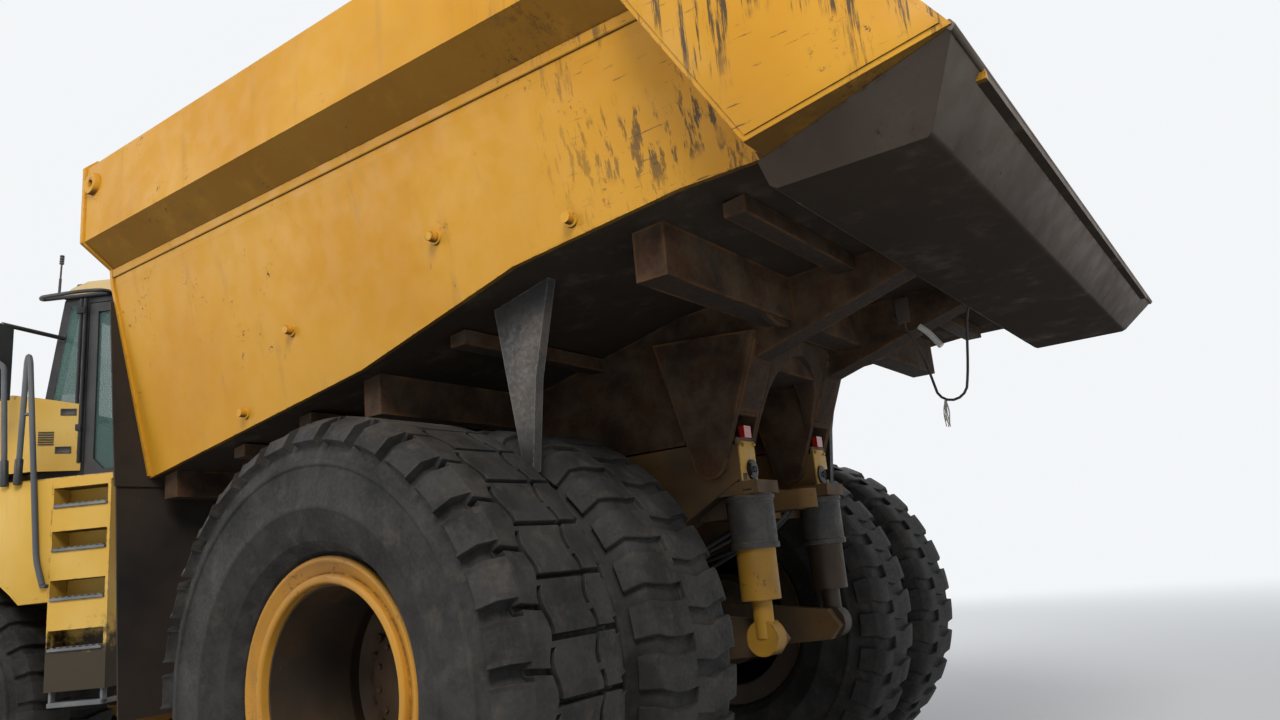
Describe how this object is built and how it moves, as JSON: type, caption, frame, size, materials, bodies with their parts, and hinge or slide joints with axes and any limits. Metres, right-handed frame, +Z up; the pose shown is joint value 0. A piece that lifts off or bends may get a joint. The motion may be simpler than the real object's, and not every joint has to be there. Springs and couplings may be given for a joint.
{
  "type": "articulated dump truck",
  "caption": "Two-axle articulated dump truck with twin rear wheels: cab and hood in front, tipping bin behind, hinged and rolling at the middle, parked on left lock.",
  "frame": {"origin": "on the ground, in the middle of the whole outline as parked", "axes": "+X forward along the rear half, +Y to its left, +Z up"},
  "size_m": [10.7074, 5.633, 4.15],
  "materials": {
    "yellow_paint": "worn gloss paint with rust",
    "dark_steel": "dirty dark paint",
    "rusty_steel": "rust and dried mud",
    "cab_trim": "grey paint",
    "plastic": "moulded",
    "glass": "clear, slightly green",
    "tyre_rubber": "worn",
    "flap_rubber": "matt",
    "bright_steel": "polished rod",
    "lamp_red": "lens",
    "lamp_clear": "lens"
  },
  "bodies": {
    "rear_chassis": {"rear_frame": "yellow_paint", "rear_axle": "yellow_paint", "rear_suspension": "yellow_paint", "tail_lamps": "lamp_red"},
    "hitch": {"hitch_knuckle": "yellow_paint"},
    "front_chassis": {"front_frame": "yellow_paint", "front_axle": "yellow_paint", "front_suspension": "dark_steel", "engine_block": "dark_steel", "radiator": "dark_steel", "front_bumper": "yellow_paint", "headlamps": "lamp_clear", "cab_shell": "cab_trim", "cab_glass": "glass", "cab_interior": "plastic", "walkways": "yellow_paint", "handrails": "cab_trim", "mirrors": "plastic", "exhaust": "dark_steel"},
    "hood": {"hood": "yellow_paint", "grille": "plastic"},
    "cab_door": {"cab_door": "cab_trim", "door_glass": "glass"},
    "bed": {"bin_sides": "yellow_paint", "bin_floor": "yellow_paint", "bin_underframe": "rusty_steel", "rock_ejectors": "dark_steel", "screen_plates": "dark_steel", "screen_rubbers": "flap_rubber"},
    "wheel_rear_left": {"wheel_rear_left": "yellow_paint", "tyres_rear_left": "tyre_rubber"},
    "wheel_rear_right": {"wheel_rear_right": "yellow_paint", "tyres_rear_right": "tyre_rubber"},
    "wheel_front_left": {"wheel_front_left": "yellow_paint", "tyre_front_left": "tyre_rubber"},
    "wheel_front_right": {"wheel_front_right": "yellow_paint", "tyre_front_right": "tyre_rubber"},
    "hoist_barrel_left": {"hoist_barrel_left": "yellow_paint"},
    "hoist_barrel_right": {"hoist_barrel_right": "yellow_paint"},
    "hoist_rod_left": {"hoist_rod_left": "bright_steel"},
    "hoist_rod_right": {"hoist_rod_right": "bright_steel"},
    "steer_barrel_left": {"steer_barrel_left": "yellow_paint"},
    "steer_barrel_right": {"steer_barrel_right": "yellow_paint"},
    "steer_rod_left": {"steer_rod_left": "bright_steel"},
    "steer_rod_right": {"steer_rod_right": "bright_steel"}
  },
  "joints": [
    {"name": "hitch_roll", "type": "hinge", "parent": "rear_chassis", "child": "hitch", "pos_m": [0.3963, -0.50752, 1.15], "axis": [1, 0, 0], "range_deg": [-20, 20]},
    {"name": "steer", "type": "hinge", "parent": "hitch", "child": "front_chassis", "pos_m": [1.0963, -0.50752, 1.15], "axis": [0, 0, 1], "range_deg": [-72, 12]},
    {"name": "bed_tip", "type": "hinge", "parent": "rear_chassis", "child": "bed", "pos_m": [-3.5137, -0.50752, 1.95], "axis": [0, -1, 0], "range_deg": [0, 55]},
    {"name": "hood_tilt", "type": "hinge", "parent": "front_chassis", "child": "hood", "pos_m": [4.6037, 1.51748, 1.33], "axis": [-0.5, 0.866, 0], "range_deg": [0, 60]},
    {"name": "door_swing", "type": "hinge", "parent": "front_chassis", "child": "cab_door", "pos_m": [0.7204, 0.34355, 3], "axis": [0, 0, 1], "range_deg": [0, 80]},
    {"name": "wheel_rear_left_spin", "type": "hinge", "parent": "rear_chassis", "child": "wheel_rear_left", "pos_m": [-2.6437, 1.04748, 1.0875], "axis": [0, 1, 0], "continuous": true},
    {"name": "wheel_front_left_spin", "type": "hinge", "parent": "front_chassis", "child": "wheel_front_left", "pos_m": [1.8023, 1.38965, 0.935], "axis": [-0.5, 0.866, 0], "continuous": true},
    {"name": "wheel_rear_right_spin", "type": "hinge", "parent": "rear_chassis", "child": "wheel_rear_right", "pos_m": [-2.6437, -2.06252, 1.0875], "axis": [0, 1, 0], "continuous": true},
    {"name": "wheel_front_right_spin", "type": "hinge", "parent": "front_chassis", "child": "wheel_front_right", "pos_m": [3.0923, -0.84469, 0.935], "axis": [-0.5, 0.866, 0], "continuous": true},
    {"name": "steer_barrel_left_swing", "type": "hinge", "parent": "hitch", "child": "steer_barrel_left", "pos_m": [0.4963, -0.10752, 1.31], "axis": [0, 0, 1], "range_deg": [-42, 8]},
    {"name": "steer_rod_left_slide", "type": "slide", "parent": "steer_barrel_left", "child": "steer_rod_left", "axis": [0.9556, 0.2948, 0], "range_m": [-0.08, 0.455]},
    {"name": "hoist_barrel_left_swing", "type": "hinge", "parent": "rear_chassis", "child": "hoist_barrel_left", "pos_m": [-0.6937, 0.15248, 0.85], "axis": [0, -1, 0], "range_deg": [-3, 3]},
    {"name": "hoist_rod_left_slide", "type": "slide", "parent": "hoist_barrel_left", "child": "hoist_rod_left", "axis": [-0.6324, 0, 0.7747], "range_m": [-0.005, 1.539]},
    {"name": "steer_barrel_right_swing", "type": "hinge", "parent": "hitch", "child": "steer_barrel_right", "pos_m": [0.4963, -0.90752, 1.31], "axis": [0, 0, 1], "range_deg": [-42, 8]},
    {"name": "steer_rod_right_slide", "type": "slide", "parent": "steer_barrel_right", "child": "steer_rod_right", "axis": [0.9585, 0.285, 0], "range_m": [-0.542, 0.094]},
    {"name": "hoist_barrel_right_swing", "type": "hinge", "parent": "rear_chassis", "child": "hoist_barrel_right", "pos_m": [-0.6937, -1.16752, 0.85], "axis": [0, -1, 0], "range_deg": [-3, 3]},
    {"name": "hoist_rod_right_slide", "type": "slide", "parent": "hoist_barrel_right", "child": "hoist_rod_right", "axis": [-0.6324, 0, 0.7747], "range_m": [-0.005, 1.539]}
  ],
  "couplings": [
    {"joint": "steer_barrel_left_swing", "follows": "steer", "ratio": 0.55907},
    {"joint": "steer_rod_left_slide", "follows": "steer", "m_per_rad": -0.35813},
    {"joint": "hoist_barrel_left_swing", "follows": "bed_tip", "ratio": 0.009265},
    {"joint": "hoist_rod_left_slide", "follows": "bed_tip", "m_per_rad": 1.5985},
    {"joint": "steer_barrel_right_swing", "follows": "steer", "ratio": 0.56803},
    {"joint": "steer_rod_right_slide", "follows": "steer", "m_per_rad": 0.42704},
    {"joint": "hoist_barrel_right_swing", "follows": "bed_tip", "ratio": 0.009265},
    {"joint": "hoist_rod_right_slide", "follows": "bed_tip", "m_per_rad": 1.5985}
  ]
}
